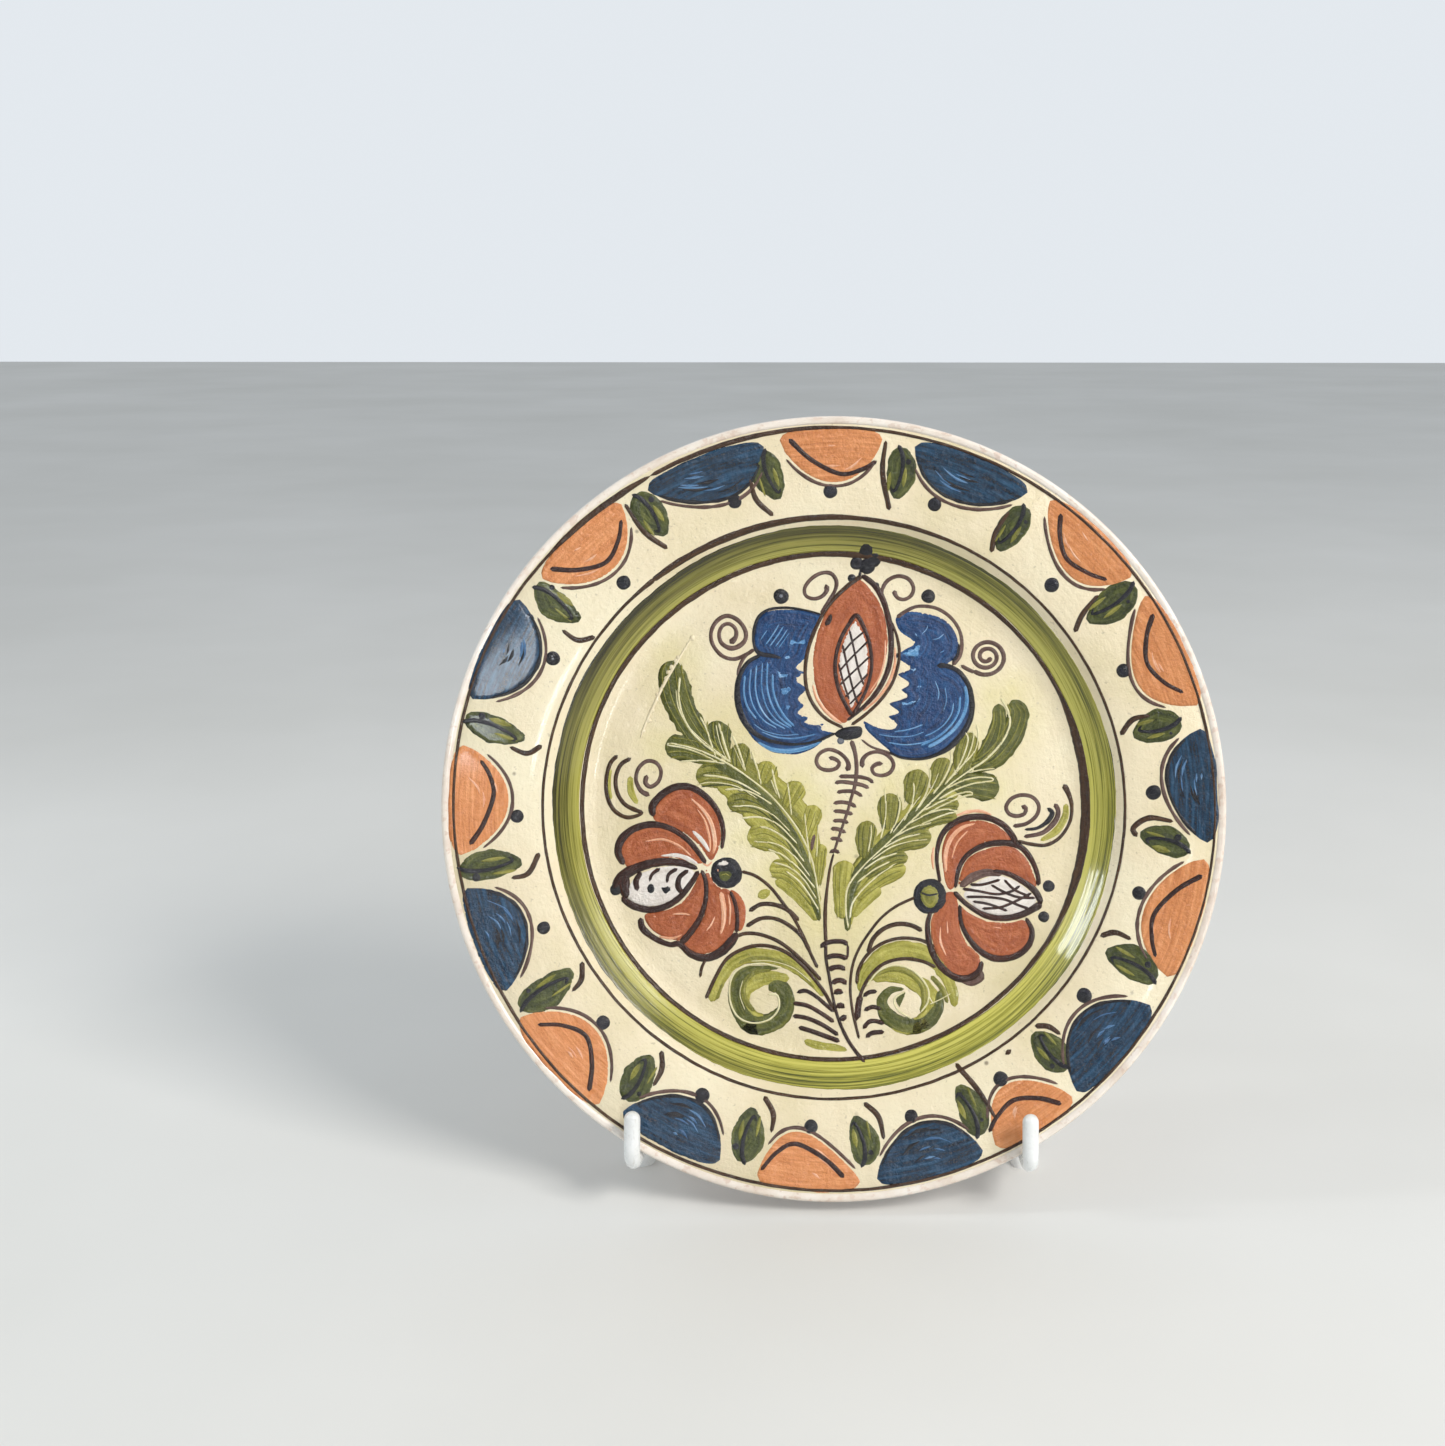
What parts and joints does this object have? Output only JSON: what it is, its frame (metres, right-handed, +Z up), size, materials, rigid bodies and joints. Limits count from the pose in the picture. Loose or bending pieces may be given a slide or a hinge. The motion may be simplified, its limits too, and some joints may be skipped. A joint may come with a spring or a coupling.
{
  "type": "decorated plate on a wire stand",
  "caption": "Round glazed earthenware dish with slip-painted rim and well, leaning on a folding wire easel whose hooks hold its lip.",
  "frame": {"origin": "bottom centre of the bounding box: on the table, midway between the hooks' fronts and the rear bumpers, on the plane of symmetry", "axes": "+Z up, +X to the right as seen from the front, -Y out of the painted face towards the viewer; the plate leans back 15 degrees"},
  "size_m": [0.21, 0.1227, 0.2062],
  "materials": {
    "clay": "satin",
    "slip": "gloss",
    "green_glaze": "gloss",
    "brown_glaze": "gloss",
    "steel": "satin",
    "vinyl": "gloss"
  },
  "bodies": {
    "front_frame": {"frame_wire": "steel", "crossbar_rod": "steel", "left_hook_wire": "steel", "right_hook_wire": "steel", "frame_coating": "vinyl", "left_hook_sleeve": "vinyl", "right_hook_sleeve": "vinyl", "left_front_foot": "vinyl", "right_front_foot": "vinyl"},
    "rear_strut": {"strut_wire": "steel", "strut_coating": "vinyl", "left_hinge_sleeve": "steel", "right_hinge_sleeve": "steel", "left_stop_tab": "steel", "right_stop_tab": "steel", "left_rear_bumper": "vinyl", "right_rear_bumper": "vinyl"},
    "plate": {"clay_body": "clay", "cream_slip": "slip", "green_band": "green_glaze", "well_line": "brown_glaze", "shoulder_line": "brown_glaze", "outer_rim_line": "brown_glaze"}
  },
  "joints": [
    {"name": "strut_hinge", "type": "hinge", "parent": "front_frame", "child": "rear_strut", "pos_m": [0, -0.00164, 0.10238], "axis": [-1, 0, 0], "range_deg": [0, 44]},
    {"name": "plate_lift", "type": "slide", "parent": "front_frame", "child": "plate", "axis": [0, 0.2588, 0.9659], "range_m": [0, 0.16]}
  ]
}
